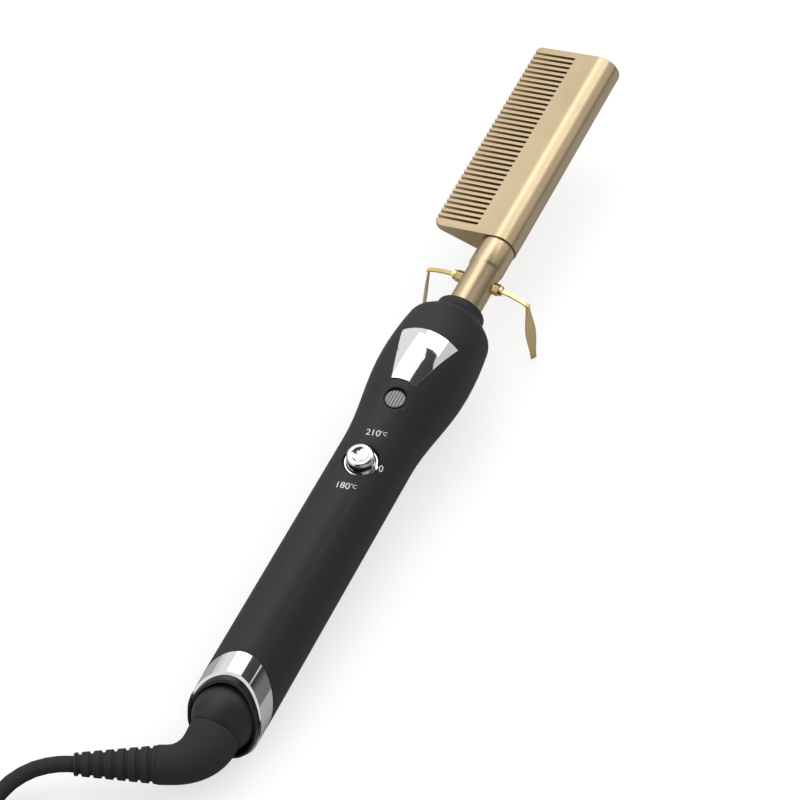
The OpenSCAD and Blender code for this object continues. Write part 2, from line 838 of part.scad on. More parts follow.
module mains_leads() {
    color([0.55, 0.3, 0.2]) placed() for (x = [-mains_x, mains_x])
        rod(carrier_y + carrier_t, board_start, mains_r, x, board_top - board_t / 2);
}

module switch_body() {
    color([0.2, 0.2, 0.22]) placed() difference() {
        union() {
            translate([-switch_w / 2, knob_y - switch_w / 2, board_top])
                cube([switch_w, switch_w, switch_top - board_top]);
            upright(board_top, bushing_end, bushing_r, 0, knob_y);
        }
        upright(shaft_start - pass_gap, clear_r, shaft_r + run_fit, 0, knob_y);
    }
}

module switch_shaft() {
    color([0.8, 0.8, 0.82]) placed() upright(shaft_start, shaft_end, shaft_r, 0, knob_y);
}

module knob() {
    color([0.86, 0.87, 0.88]) placed() translate([0, knob_y, knob_z]) difference() {
        union() {
            rotate_extrude() polygon(concat(
                [[0, 0], [knob_r, 0], [knob_r, skirt_h - skirt_edge], [knob_r - skirt_edge, skirt_h]],
                [[knob_cap_r + cap_foot, skirt_h], [knob_cap_r, skirt_h + cap_foot]],
                arc([knob_cap_r - cap_edge, knob_h - cap_edge], cap_edge, 0, 80, 4),
                [[dish_r, knob_h], [dish_r - dish_depth, knob_h - dish_depth / 2], [0, knob_h - dish_depth]]
            ));
            translate([0, -nose_w / 2, 0]) cube([nose_reach, nose_w, skirt_h]);
        }
        translate([0, 0, -over]) cylinder(h = shaft_end - knob_z + over + seat, r = shaft_r + seat / 2);
    }
}

module lamp_lens() {
    color([0.75, 0.75, 0.78]) placed() {
        upright(lamp_cup_z - lens_flange_h, lens_top, lens_r, 0, lamp_y);
        upright(lamp_cup_z - lens_flange_h, lamp_cup_z, lens_flange_r, 0, lamp_y);
    }
}

module lamp_holder() {
    color([0.92, 0.92, 0.9]) placed() difference() {
        upright(board_top, lamp_cup_z - lens_flange_h, holder_r, 0, lamp_y);
        upright(bulb_z, clear_r, holder_bore, 0, lamp_y);
    }
}

module lamp_bulb() {
    color([0.9, 0.45, 0.15]) placed() {
        upright(bulb_z, bulb_z + bulb_h, bulb_r, 0, lamp_y);
        translate([0, lamp_y, bulb_z + bulb_h]) sphere(r = bulb_r);
    }
}

module fan_inlay() {
    color([0.86, 0.87, 0.88]) placed() intersection() {
        fan_prism(0);
        difference() {
            barrel_solid(inlay_proud);
            barrel_solid(inlay_proud - inlay_t + seat / 2);
        }
    }
}

module tail_ring() {
    color([0.86, 0.87, 0.88]) placed() difference() {
        intersection() {
            pipe(handle_start, clear_r, ring_r, cap_r + seat);
            tail_waste(ring_len - seat);
        }
        tail_waste(0);
    }
}

module end_cap() {
    color([0.1, 0.1, 0.11]) placed() difference() {
        rod(handle_start, cap_end, cap_r);
        rod(handle_start - over, cap_floor_y, cap_inner_r);
        rod(cap_floor_y + cap_floor, cap_end + over, cap_inner_r);
        rod(handle_start, cap_end, hub_r + run_fit);
        tail_waste(-lip_len);
    }
}

module contact_carrier() {
    color([0.6, 0.4, 0.25]) placed() pipe(carrier_y, carrier_y + carrier_t, carrier_r, hub_bore);
}

module contact_springs() {
    color([0.8, 0.62, 0.3]) placed() for (k = [0, 1])
        translate([-spring_w / 2, slip_ys[k], (k * 2 - 1) * (slip_r + pass_gap + spring_t / 2) - spring_t / 2])
            cube([spring_w, carrier_y - slip_ys[k], spring_t]);
}

module swivel_ball() {
    color([0.13, 0.13, 0.14]) placed() difference() {
        translate([0, ball_y, 0]) sphere(r = ball_r);
        rod(hub_start, clear_r, hub_r + seat);
        rod(ball_y - 2 * ball_r, boot_y, 2 * ball_r);
        rod(boot_y - over, hub_start + over, hub_bore);
    }
}

module swivel_hub() {
    color([0.7, 0.7, 0.66]) placed() difference() {
        union() {
            rod(hub_start, hub_end, hub_r);
            rod(hub_flange_y, hub_flange_y + hub_flange_t, hub_flange_r);
        }
        rod(hub_start - over, hub_end + over, hub_bore);
    }
}

module slip_rings() {
    color([0.8, 0.62, 0.3]) placed() for (y = slip_ys) pipe(y, y + slip_len, slip_r, hub_r + seat / 2);
}

module cord_boot() {
    color([0.12, 0.12, 0.13]) placed() sweep(boot_line, boot_radii, 24);
}

module strain_relief() {
    color([0.12, 0.12, 0.13]) placed() translate([boot_end.x, boot_end.y, 0])
        rotate([0, 0, 90 - boot_bend]) rotate([0, -90, 0]) difference() {
            cylinder(h = relief_len, r1 = relief_root_r, r2 = relief_r);
            for (i = [0 : relief_grooves - 1])
                let (
                    h = relief_len * (i + groove_start) / relief_grooves,
                    r = relief_root_r + (relief_r - relief_root_r) * h / relief_len
                )
                    translate([0, 0, h]) difference() {
                        cylinder(h = groove_w, r = relief_root_r + over);
                        translate([0, 0, -over])
                            cylinder(h = groove_w + 2 * over, r = r - groove_depth);
                    }
        }
}

module stand_bosses() {
    color([0.88, 0.77, 0.45]) placed() for (side = [0, 180]) rotate([0, side, 0]) difference() {
        translate([boss_root, pivot_y, 0]) rotate([0, 90, 0])
            cylinder(h = boss_x - boss_root, d = boss_flats / cos(30), $fn = 6);
        rod(pivot_y - clear_r, pivot_y + clear_r, neck_r + seat / 2);
        across(-over, clear_r, pin_r + run_fit, pivot_y);
    }
}

// A leg with its pin along X, its pivot at y = 0 and its foot at z = 0
module leg() {
    rotate([90, 0, 0]) linear_extrude(arm_w, center = true) polygon(arm_side);
    skin(leg_rings);
    across(pin_end, arm_x, pin_r, 0, stand_h);
    across(hub_disc_x, arm_x, hub_disc_r, 0, stand_h);
}

module clip() {
    difference() {
        across(clip_x, clip_x + clip_t, clip_r, 0, stand_h);
        across(0, clear_r, pin_r + seat / 2, 0, stand_h);
    }
}

module at_pivot() {
    translate([-mid_x, pivot_world_y, 0]) children();
}

module left_leg() {
    color([0.88, 0.77, 0.45]) at_pivot() mirror([1, 0, 0]) leg();
}

module right_leg() {
    color([0.88, 0.77, 0.45]) at_pivot() leg();
}

module left_clip() {
    color([0.75, 0.75, 0.76]) at_pivot() mirror([1, 0, 0]) clip();
}

module right_clip() {
    color([0.75, 0.75, 0.76]) at_pivot() clip();
}

module cord_lead() {
    color([0.12, 0.12, 0.13]) sweep(concat(
        [relief_world, relief_world + cord_d * relief_heading],
        lead_points,
        [hank_start + [0, cord_d, 0], hank_start]
    ), cord_r, 10);
}

module cord_hank() {
    color([0.12, 0.12, 0.13]) sweep(hank_line, cord_r, 6);
}

module hank_tie() {
    color([0.2, 0.2, 0.21]) hank_band();
}

// The tie goes round the waist of the bundle, with its foot on the table
module hank_band() {
    half = hank_outer - hank_pull + cord_r + pass_gap;
    tall = hank_rise + cord_d + pass_gap;
    translate([hank_x, hank_y - tie_w / 2, 0]) difference() {
        translate([-half - tie_t, 0, 0]) cube([2 * half + 2 * tie_t, tie_w, tall + 2 * tie_t]);
        translate([-half, -over, tie_t]) cube([2 * half, tie_w + 2 * over, tall]);
    }
}

module plug_lead() {
    color([0.12, 0.12, 0.13]) sweep(concat(
        [hank_end], plug_points, [plug_at + [0, cord_d, 0], plug_at]
    ), cord_r, 10);
}

// The plug lies flat, with its cord coming in at plug_at
module at_plug() {
    translate(plug_at) rotate([0, 0, 180]) children();
}

module plug_body() {
    color([0.12, 0.12, 0.13]) at_plug() {
        rotate([-90, 0, 0]) cylinder(h = plug_tail, r1 = plug_tail_end_r, r2 = plug_tail_r);
        translate([0, plug_tail + plug_len, 0]) rotate([90, 0, 0]) linear_extrude(plug_len)
            polygon([
                [-plug_w / 2, -plug_t / 2 + plug_corner], [-plug_w / 2 + plug_corner, -plug_t / 2],
                [plug_w / 2 - plug_corner, -plug_t / 2], [plug_w / 2, -plug_t / 2 + plug_corner],
                [plug_w / 2, plug_t / 2 - plug_corner], [plug_w / 2 - plug_corner, plug_t / 2],
                [-plug_w / 2 + plug_corner, plug_t / 2], [-plug_w / 2, plug_t / 2 - plug_corner]
            ]);
    }
}

module plug_pins() {
    color([0.8, 0.8, 0.82]) at_plug()
        for (x = [-plug_pitch / 2, plug_pitch / 2])
            rod(plug_tail + plug_len, plug_tail + plug_len + plug_pin_len, plug_pin_d / 2, x, 0);
}

front_shell();
back_shell();
heat_ring();
neck_mount();
neck_tube();
comb_head();
heater_core();
heater_sleeve();
heater_bead();
heater_leads();
thermal_fuse();
control_board();
board_parts();
board_screws();
shell_screws();
mains_leads();
switch_body();
switch_shaft();
knob();
lamp_lens();
lamp_holder();
lamp_bulb();
fan_inlay();
tail_ring();
end_cap();
contact_carrier();
contact_springs();
swivel_ball();
swivel_hub();
slip_rings();
cord_boot();
strain_relief();
stand_bosses();
left_leg();
right_leg();
left_clip();
right_clip();
cord_lead();
cord_hank();
hank_tie();
plug_lead();
plug_body();
plug_pins();
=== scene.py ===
"""Dresses the heated styling comb: finishes, soft edges, the cord, printed marks and the studio."""

import json
import logging
import math
from dataclasses import dataclass, field
from enum import Enum

import bmesh
import bpy
from mathutils import Matrix, Vector

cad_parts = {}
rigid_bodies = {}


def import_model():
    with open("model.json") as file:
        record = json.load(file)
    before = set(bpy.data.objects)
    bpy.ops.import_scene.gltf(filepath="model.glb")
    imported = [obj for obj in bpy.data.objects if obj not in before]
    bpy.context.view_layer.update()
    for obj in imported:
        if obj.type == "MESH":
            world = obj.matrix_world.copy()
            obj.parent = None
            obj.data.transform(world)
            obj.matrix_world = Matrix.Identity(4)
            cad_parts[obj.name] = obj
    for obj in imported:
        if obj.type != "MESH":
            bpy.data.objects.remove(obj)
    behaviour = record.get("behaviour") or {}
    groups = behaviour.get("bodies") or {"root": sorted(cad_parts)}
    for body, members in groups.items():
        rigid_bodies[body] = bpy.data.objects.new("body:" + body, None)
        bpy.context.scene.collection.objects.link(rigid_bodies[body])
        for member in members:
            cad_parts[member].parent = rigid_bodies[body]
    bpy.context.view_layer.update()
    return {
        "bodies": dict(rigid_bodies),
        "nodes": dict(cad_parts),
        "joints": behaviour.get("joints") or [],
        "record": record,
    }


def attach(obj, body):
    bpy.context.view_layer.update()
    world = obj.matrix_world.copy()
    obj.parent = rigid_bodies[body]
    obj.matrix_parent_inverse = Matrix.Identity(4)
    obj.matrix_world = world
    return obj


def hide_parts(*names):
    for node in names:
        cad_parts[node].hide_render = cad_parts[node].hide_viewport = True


MM = 0.001
LOG = logging.getLogger("comb")
Point = tuple[float, float, float]
Steps = tuple[tuple[float, float], ...]

WELD = 0.002 * MM
FLAT_DEG = 0.4
ROUNDING_STEPS = 3
CORD_SHARP_DEG = 30.0


def place(name: str, data: bpy.types.ID) -> bpy.types.Object:
    """Puts a new object in the scene.

    Args:
        name: The object's name.
        data: Its mesh, curve, lamp or camera.

    Returns:
        The new object.
    """
    made = bpy.data.objects.new(name, data)
    bpy.context.scene.collection.objects.link(made)
    return made


class Body(Enum):
    """The bodies that pieces ride on."""

    COMB = "comb"
    KNOB = "knob"
    SWIVEL = "swivel"
    LEFT_LEG = "left_stand_leg"
    RIGHT_LEG = "right_stand_leg"


@dataclass(frozen=True)
class Placing:
    """How the comb's own frame lies in the part's frame.

    The own frame has the comb's axis along Y and its tail datum at 0, in millimetres.
    """

    lean_deg: float = 4.78664
    mid_x: float = -1.62679
    mid_y: float = 137.992
    lift: float = 16.3774

    def turn(self) -> Matrix:
        """Returns the rotation from the comb's own frame to the part's frame."""
        return Matrix.Rotation(math.radians(self.lean_deg), 4, "X")

    def matrix(self) -> Matrix:
        """Returns the whole placing, from millimetres in the own frame to metres."""
        move = Matrix.Translation((-self.mid_x * MM, -self.mid_y * MM, self.lift * MM))
        return move @ self.turn() @ Matrix.Scale(MM, 4)

    def point(self, own: Point) -> Vector:
        """Places one point.

        Args:
            own: The point in the comb's own frame, in millimetres.

        Returns:
            The point in the part's frame, in metres.
        """
        return self.matrix() @ Vector(own)


PLACING = Placing()


@dataclass(frozen=True)
class HandleShape:
    """The handle's outside radius from its tail to its widest place, in millimetres."""

    tail_r: float = 15.0
    waist_r: float = 14.7
    waist_y: float = 112.0
    bulge_r: float = 19.0
    bulge_y: float = 153.4

    def radius(self, y: float) -> float:
        """Gives the handle's radius.

        Args:
            y: Distance from the tail datum.

        Returns:
            The outside radius there.
        """
        if y < self.waist_y:
            return self.tail_r + (self.waist_r - self.tail_r) * y / self.waist_y
        share = (y - self.waist_y) / (self.bulge_y - self.waist_y)
        swell = (1 - math.cos(math.pi * share)) / 2
        return self.waist_r + (self.bulge_r - self.waist_r) * swell


@dataclass(frozen=True)
class Finish:
    """A procedural finish.

    Its base colour and roughness drift slightly, and a fine grain shows in its roughness and bump.
    """

    name: str
    color: tuple[float, float, float]
    roughness: float
    metallic: float = 0.0
    drift: float = 0.04
    drift_scale: float = 60.0
    drift_detail: float = 3.0
    drift_span: tuple[float, float] = (0.3, 0.7)
    rough_drift: float = 0.05
    smoothest: float = 0.02
    grain_scale: float = 1800.0
    grain_detail: float = 2.0
    grain: float = 0.05
    grain_depth: float = 0.05 * MM
    grain_stretch: Point = (1.0, 1.0, 1.0)
    coat: float = 0.0
    coat_roughness: float = 0.08
    specular: float = 0.5
    transmission: float = 0.0

    def material(self) -> bpy.types.Material:
        """Builds the material, or returns it if it is there already."""
        found = bpy.data.materials.get(self.name)
        if found:
            return found
        made = bpy.data.materials.new(self.name)
        made.use_nodes = True
        tree = made.node_tree
        shader = tree.nodes["Principled BSDF"]
        shader.inputs["Metallic"].default_value = self.metallic
        shader.inputs["Specular IOR Level"].default_value = self.specular
        shader.inputs["Coat Weight"].default_value = self.coat
        shader.inputs["Coat Roughness"].default_value = self.coat_roughness
        shader.inputs["Transmission Weight"].default_value = self.transmission
        texture = tree.nodes.new("ShaderNodeTexCoord")
        mapping = tree.nodes.new("ShaderNodeMapping")
        mapping.inputs["Scale"].default_value = self.grain_stretch
        tree.links.new(texture.outputs["Object"], mapping.inputs["Vector"])
        self._colour(tree, texture, shader)
        self._grain(tree, mapping, shader)
        return made

    def _colour(
        self, tree: bpy.types.NodeTree, texture: bpy.types.Node, shader: bpy.types.Node
    ) -> None:
        """Adds the slow drift of colour.

        Args:
            tree: The material's node tree.
            texture: Its texture coordinate node.
            shader: Its surface shader.
        """
        clouds = tree.nodes.new("ShaderNodeTexNoise")
        clouds.inputs["Scale"].default_value = self.drift_scale
        clouds.inputs["Detail"].default_value = self.drift_detail
        ramp = tree.nodes.new("ShaderNodeValToRGB")
        low = [c * (1 - self.drift) for c in self.color]
        high = [min(1.0, c * (1 + self.drift)) for c in self.color]
        for mark, at, shade in zip(ramp.color_ramp.elements, self.drift_span, (low, high)):
            mark.position = at
            mark.color = (*shade, 1.0)
        tree.links.new(texture.outputs["Object"], clouds.inputs["Vector"])
        tree.links.new(clouds.outputs["Fac"], ramp.inputs["Fac"])
        tree.links.new(ramp.outputs["Color"], shader.inputs["Base Color"])

    def _grain(
        self, tree: bpy.types.NodeTree, mapping: bpy.types.Node, shader: bpy.types.Node
    ) -> None:
        """Adds the fine grain to the roughness and the bump.

        Args:
            tree: The material's node tree.
            mapping: The node that stretches the grain.
            shader: Its surface shader.
        """
        grain = tree.nodes.new("ShaderNodeTexNoise")
        grain.inputs["Scale"].default_value = self.grain_scale
        grain.inputs["Detail"].default_value = self.grain_detail
        spread = tree.nodes.new("ShaderNodeMapRange")
        smooth = max(self.smoothest, self.roughness - self.rough_drift)
        rough = min(1.0, self.roughness + self.rough_drift)
        spread.inputs["To Min"].default_value = smooth
        spread.inputs["To Max"].default_value = rough
        bump = tree.nodes.new("ShaderNodeBump")
        bump.inputs["Strength"].default_value = self.grain
        bump.inputs["Distance"].default_value = self.grain_depth
        tree.links.new(mapping.outputs["Vector"], grain.inputs["Vector"])
        tree.links.new(grain.outputs["Fac"], spread.inputs["Value"])
        tree.links.new(spread.outputs["Result"], shader.inputs["Roughness"])
        tree.links.new(grain.outputs["Fac"], bump.inputs["Height"])
        tree.links.new(bump.outputs["Normal"], shader.inputs["Normal"])


SOFT_TOUCH = Finish("soft_touch_black", (0.016, 0.016, 0.019), 0.55, grain=0.12, specular=0.42)
SATIN_GOLD = Finish(
    "satin_gold",
    (0.59, 0.46, 0.295),
    0.30,
    metallic=1.0,
    grain_stretch=(1, 0.06, 1),
    grain=0.10,
)
NECK_GOLD = Finish(
    "brushed_gold_steel",
    (0.61, 0.475, 0.305),
    0.30,
    metallic=1.0,
    grain_stretch=(1, 0.08, 1),
    grain=0.10,
)
BRIGHT_GOLD = Finish(
    "bright_gold_wire",
    (0.80, 0.60, 0.29),
    0.16,
    metallic=1.0,
    rough_drift=0.03,
    grain=0.03,
)
CHROME = Finish(
    "bright_chrome",
    (0.80, 0.81, 0.82),
    0.05,
    metallic=1.0,
    drift=0.01,
    rough_drift=0.02,
    grain=0.01,
)
CAP_BLACK = Finish("moulded_black", (0.010, 0.010, 0.011), 0.32, grain=0.05)
BALL_BLACK = Finish("satin_black", (0.014, 0.014, 0.016), 0.5, grain=0.08)
CORD_RUBBER = Finish("cord_rubber", (0.003, 0.003, 0.0035), 0.33, grain=0.05, specular=0.10)
# Painted shade: this dark brown stands in for the shadow line where the neck tube enters the comb
# head.
SHADOW_LINE_BROWN = Finish("painted_shadow_line_brown", (0.10, 0.035, 0.025), 0.55)
CERAMIC = Finish("ceramic", (0.78, 0.76, 0.70), 0.45, grain=0.08)
STEEL = Finish("plain_steel", (0.55, 0.55, 0.57), 0.28, metallic=1.0)
BRASS = Finish("plain_brass", (0.70, 0.50, 0.20), 0.25, metallic=1.0)
BOARD_GREEN = Finish("board_green", (0.02, 0.16, 0.06), 0.38, coat=0.3)
PART_BLACK = Finish("board_part_black", (0.03, 0.03, 0.03), 0.5)
LENS_GREY = Finish("smoky_lens", (0.02, 0.02, 0.022), 0.14, coat=0.4, drift=0.1)
# Painted highlight: the ribs are moulded from the dark lens, and their light grey stands in for
# bright glints on them.
RIB_PAINTED_HIGHLIGHT = Finish("lens_rib_painted_highlight", (0.42, 0.42, 0.43), 0.12, coat=0.4, drift=0.05)
NEON = Finish("neon_glass", (0.80, 0.30, 0.08), 0.08, transmission=0.6)
PRINT_WHITE = Finish("print_white", (0.80, 0.80, 0.80), 0.5, drift=0.02, grain=0.02)


@dataclass(frozen=True)
class SoftPiece:
    """A CAD node that a copy with rounded edges stands in for.

    Edges turning by more than the sharp angle are rounded.
    """

    node: str
    body: Body
    finish: Finish
    edge_mm: float
    sharp_deg: float = 32.0


class Workshop:
    """Makes pieces and dresses CAD nodes."""

    def __init__(self, frame: dict) -> None:
        """Keeps the loaded frame.
        """
        self.nodes: dict[str, bpy.types.Object] = frame["nodes"]

    def dress(self, node: str, finish: Finish) -> None:
        """Gives a CAD node a finish.

        Args:
            node: The node's name.
            finish: Its finish.
        """
        slots = self.nodes[node].data.materials
        slots.clear()
        slots.append(finish.material())
        LOG.info("%s: %s", node, finish.name)

    def add(
        self, mesh: bpy.types.Mesh, name: str, body: Body, finish: Finish
    ) -> bpy.types.Object:
        """Puts a finished mesh in the scene.

        Args:
            mesh: The mesh, in metres in the part's frame.
            name: The piece's name.
            body: The body that it rides on.
            finish: Its finish.

        Returns:
            The new piece.
        """
        mesh.materials.clear()
        mesh.materials.append(finish.material())
        piece = place(name, mesh)
        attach(piece, body.value)
        LOG.info("%s: %d faces, %s", name, len(mesh.polygons), finish.name)
        return piece

    def softened(self, soft: SoftPiece) -> bpy.types.Object:
        """Stands a copy with rounded edges in for a CAD node.

        Args:
            soft: The node and how its edges are rounded.

        Returns:
            The new piece.
        """
        mesh = self.nodes[soft.node].data.copy()
        sharp = math.radians(soft.sharp_deg)
        shape = bmesh.new()
        shape.from_mesh(mesh)
        bmesh.ops.remove_doubles(shape, verts=shape.verts, dist=WELD)
        bmesh.ops.dissolve_limit(
            shape,
            angle_limit=math.radians(FLAT_DEG),
            verts=shape.verts,
            edges=shape.edges,
            delimit={"NORMAL"},
        )
        shape.to_mesh(mesh)
        shape.free()
        mesh.shade_smooth()
        mesh.set_sharp_from_angle(angle=sharp)
        piece = self.add(mesh, soft.node + "_finished", soft.body, soft.finish)
        rounding = piece.modifiers.new("rounding", "BEVEL")
        rounding.width = soft.edge_mm * MM
        rounding.segments = ROUNDING_STEPS
        rounding.limit_method = "ANGLE"
        rounding.angle_limit = sharp
        rounding.use_clamp_overlap = True
        rounding.harden_normals = True
        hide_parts(soft.node)
        return piece


@dataclass
class CombCamera:
    """The camera, placed in the comb's own frame as it was fitted to the photograph's edges."""

    lens_mm: float = 140.0
    sensor_mm: float = 36.0
    sight_m: float = 50.0
    at: Point = (338.567, -441.123, 989.106)
    right: Point = (0.896, 0.441, -0.051)
    forward: Point = (-0.286, 0.485, -0.827)

    def build(self) -> None:
        """Makes the scene's camera."""
        data = bpy.data.cameras.new("camera")
        data.lens = self.lens_mm
        data.sensor_width = self.sensor_mm
        data.clip_end = self.sight_m
        back = -Vector(self.forward).normalized()
        right = Vector(self.right)
        right = (right - back * right.dot(back)).normalized()
        up = back.cross(right)
        turn = Matrix((right, up, back)).transposed().to_4x4()
        camera = place("camera", data)
        camera.matrix_world = Matrix.Translation(PLACING.point(self.at)) @ PLACING.turn() @ turn
        bpy.context.scene.camera = camera
        LOG.info("camera: %.0f mm lens", self.lens_mm)


@dataclass
class Cord:
    """The mains cord: a free lead, a tied hank and the lead to the plug, along one line, in metres.

    The points of the two leads are given from the place on the table below the cord's start.
    A turn of the hank has four quarters: a run, a fold, the run back and the other fold.
    """

    diameter: float = 0.006
    start: Point = (-0.0387767, -0.188384, 0.0121577)
    heading: Point = (-0.911403, -0.410079, -0.034339)
    lead: tuple[Point, ...] = (
        (-0.0127, -0.0073, 0.0105),
        (-0.0182, -0.0148, 0.0087),
        (-0.0207, -0.0238, 0.0067),
        (-0.0212, -0.0328, 0.005),
    )
    hank_at: Point = (-0.0235767, -0.286184, 0.0041)
    hank_run: float = 0.090
    hank_fold: float = 0.018
    hank_step: float = 0.007
    hank_rise: float = 0.0068
    hank_pull: float = 0.010
    hank_turns: float = 5.25
    quarters: int = 4
    rings: int = 40
    lead_steps: int = 2
    round_steps: int = 5
    tail: tuple[Point, ...] = (
        (-0.0207, -0.1588, 0.0102),
        (-0.0182, -0.1688, 0.0093),
        (-0.0132, -0.1788, 0.0084),
        (-0.0072, -0.1888, 0.0076),
        (-0.0022, -0.1978, 0.007),
    )
    plug_at: Point = (-0.0379767, -0.401184, 0.0068)

    def hank_point(self, turn: float) -> Vector:
        """Gives a point of the hank's line.

        Args:
            turn: How many turns from the start of the hank.

        Returns:
            The point, in metres.
        """
        middle = self.hank_turns / 2
        radius = self.hank_fold + self.hank_step * abs(turn - middle)
        climb = min(1.0, max(0.0, self.quarters * (turn - middle) + 0.5))
        height = self.hank_at[2] + self.hank_rise * (1 - math.cos(math.pi * climb)) / 2
        half = self.hank_run / 2
        quarter, share = divmod((turn % 1.0) * self.quarters, 1.0)
        along = half * (1 - 2 * share)
        waist = self.hank_pull * (1 + math.cos(math.pi * along / half)) / 2
        angle = math.pi * share
        places = {
            0: (-(radius - waist), along),
            1: (-radius * math.cos(angle), -half - radius * math.sin(angle)),
            2: (radius - waist, -along),
            3: (radius * math.cos(angle), half + radius * math.sin(angle)),
        }
        x, y = places[int(quarter)]
        return Vector((self.hank_at[0] + x, self.hank_at[1] + y, height))

    def smooth(self, points: list[Vector]) -> list[Vector]:
        """Rounds a line of points with a curve through each.

        Args:
            points: The points.

        Returns:
            The points of the rounded line.
        """
        ends = [2 * points[0] - points[1], *points, 2 * points[-1] - points[-2]]
        line = []
        for i in range(1, len(ends) - 2):
            a, b, c, d = ends[i - 1 : i + 3]
            for k in range(self.lead_steps):
                t = k / self.lead_steps
                curve = (
                    2 * b
                    + (c - a) * t
                    + (2 * a - 5 * b + 4 * c - d) * t**2
                    + (3 * b - a - 3 * c + d) * t**3
                )
                line.append(0.5 * curve)
        return [*line, points[-1]]

    def line(self) -> list[Vector]:
        """Returns the whole cord's line, from the strain relief to the plug."""
        first = self.hank_point(0.0)
        last = self.hank_point(self.hank_turns)
        step = Vector((0, self.diameter, 0))
        start = Vector(self.start)
        below = Vector((start.x, start.y, 0))
        lead = [start, start + self.diameter * Vector(self.heading)]
        lead += [below + Vector(p) for p in self.lead] + [first + 2 * step, first + step]
        count = round(self.hank_turns * self.rings)
        hank = [self.hank_point(self.hank_turns * i / count) for i in range(count + 1)]
        plug = Vector(self.plug_at)
        tail = [last - step] + [below + Vector(p) for p in self.tail] + [plug + step, plug]
        return self.smooth(lead) + hank + self.smooth(tail)

    def build(self, shop: Workshop) -> None:
        """Args:
            shop: The workshop that dresses CAD nodes.
        """
        line = self.line()
        data = bpy.data.curves.new("mains_cord", "CURVE")
        data.dimensions = "3D"
        data.bevel_depth = self.diameter / 2
        data.bevel_resolution = self.round_steps
        data.use_fill_caps = True
        spline = data.splines.new("POLY")
        spline.points.add(len(line) - 1)
        for point, at in zip(spline.points, line):
            point.co = (*at, 1.0)
        spline.use_smooth = True
        data.materials.append(CORD_RUBBER.material())
        cord = place("mains_cord", data)
        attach(cord, Body.SWIVEL.value)
        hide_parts("cord_lead", "cord_hank", "plug_lead")
        self.pieces(shop)

    def pieces(self, shop: Workshop) -> list[bpy.types.Object]:
        """Dresses what is on the cord.

        Args:
            shop: The workshop.

        Returns:
            The pieces on the cord.
        """
        on_cord = (
            SoftPiece("hank_tie", Body.SWIVEL, CORD_RUBBER, 0.4, CORD_SHARP_DEG),
            SoftPiece("plug_body", Body.SWIVEL, CORD_RUBBER, 1.2, CORD_SHARP_DEG),
            SoftPiece("plug_pins", Body.SWIVEL, BRASS, 0.5, CORD_SHARP_DEG),
            SoftPiece("strain_relief", Body.SWIVEL, CORD_RUBBER, 0.2, CORD_SHARP_DEG),
        )
        return [shop.softened(piece) for piece in on_cord]


@dataclass
class Marks:
    """The white marks of the heat switch, printed on the handle.

    Sizes are in millimetres in the own frame. A mark has its name, figures and unit, and then
    where its middle lies across and along the handle.
    """

    shape: HandleShape = field(default_factory=HandleShape)
    figure_size: float = 3.9
    unit_size: float = 2.3
    unit_gap: float = 0.0
    outline_steps: int = 4
    turn_deg: float = 11.0
    proud: float = 0.04
    longest_edge: float = 0.8
    marks: tuple[tuple[str, str, str, float, float], ...] = (
        ("mark_210", "210", "°C", 0.1, 113.2),
        ("mark_0", "0", "", 8.5, 100.9),
        ("mark_180", "180", "°C", 0.5, 87.5),
    )

    def build(self, shop: Workshop) -> None:
        """Makes each mark and wraps it round the handle.

        Args:
            shop: The workshop.
        """
        for name, figures, unit, x, y in self.marks:
            shape = bmesh.new()
            self.write(shape, figures, self.figure_size, 0.0)
            if unit:
                end = max(v.co.x for v in shape.verts)
                self.write(shape, unit, self.unit_size, end + self.unit_gap)
            self.wrap(shape, x, y)
            mesh = bpy.data.meshes.new(name)
            shape.to_mesh(mesh)
            shape.free()
            shop.add(mesh, name, Body.COMB, PRINT_WHITE)

    def write(self, shape: bmesh.types.BMesh, text: str, size: float, x: float) -> None:
        """Adds flat letters, level at their top with the figures.

        Args:
            shape: The mesh to add to.
            text: What to write.
            size: Its size.
            x: Where it starts.
        """
        curve = bpy.data.curves.new("letters", "FONT")
        curve.body = text
        curve.size = size
        curve.resolution_u = self.outline_steps
        letters = place("letters", curve)
        bpy.context.view_layer.update()
        flat = bpy.data.meshes.new_from_object(letters)
        bpy.data.objects.remove(letters)
        bpy.data.curves.remove(curve)
        top = max(v.co.y for v in shape.verts) if shape.verts else 0.0
        rise = top - max(v.co.y for v in flat.vertices) if top else 0.0
        flat.transform(Matrix.Translation((x, rise, 0)))
        shape.from_mesh(flat)
        bpy.data.meshes.remove(flat)

    def wrap(self, shape: bmesh.types.BMesh, x: float, y: float) -> None:
        """Centres, turns and lays a flat mesh on the handle.

        Args:
            shape: The mesh, flat in X and Y.
            x: Where its middle goes across the handle.
            y: Where its middle goes along the handle.
        """
        bmesh.ops.triangulate(shape, faces=shape.faces)
        long_edges = [e for e in shape.edges if e.calc_length() > self.longest_edge]
        bmesh.ops.subdivide_edges(shape, edges=long_edges, cuts=1)
        spans = [[v.co[i] for v in shape.verts] for i in (0, 1)]
        middle = Vector([(min(span) + max(span)) / 2 for span in spans] + [0.0])
        turn = Matrix.Rotation(math.radians(self.turn_deg), 3, "Z")
        for vert in shape.verts:
            off = turn @ (vert.co - middle)
            along = y + off.y
            radius = self.shape.radius(along) + self.proud
            angle = (x + off.x) / radius
            vert.co = PLACING.point((radius * math.sin(angle), along, radius * math.cos(angle)))


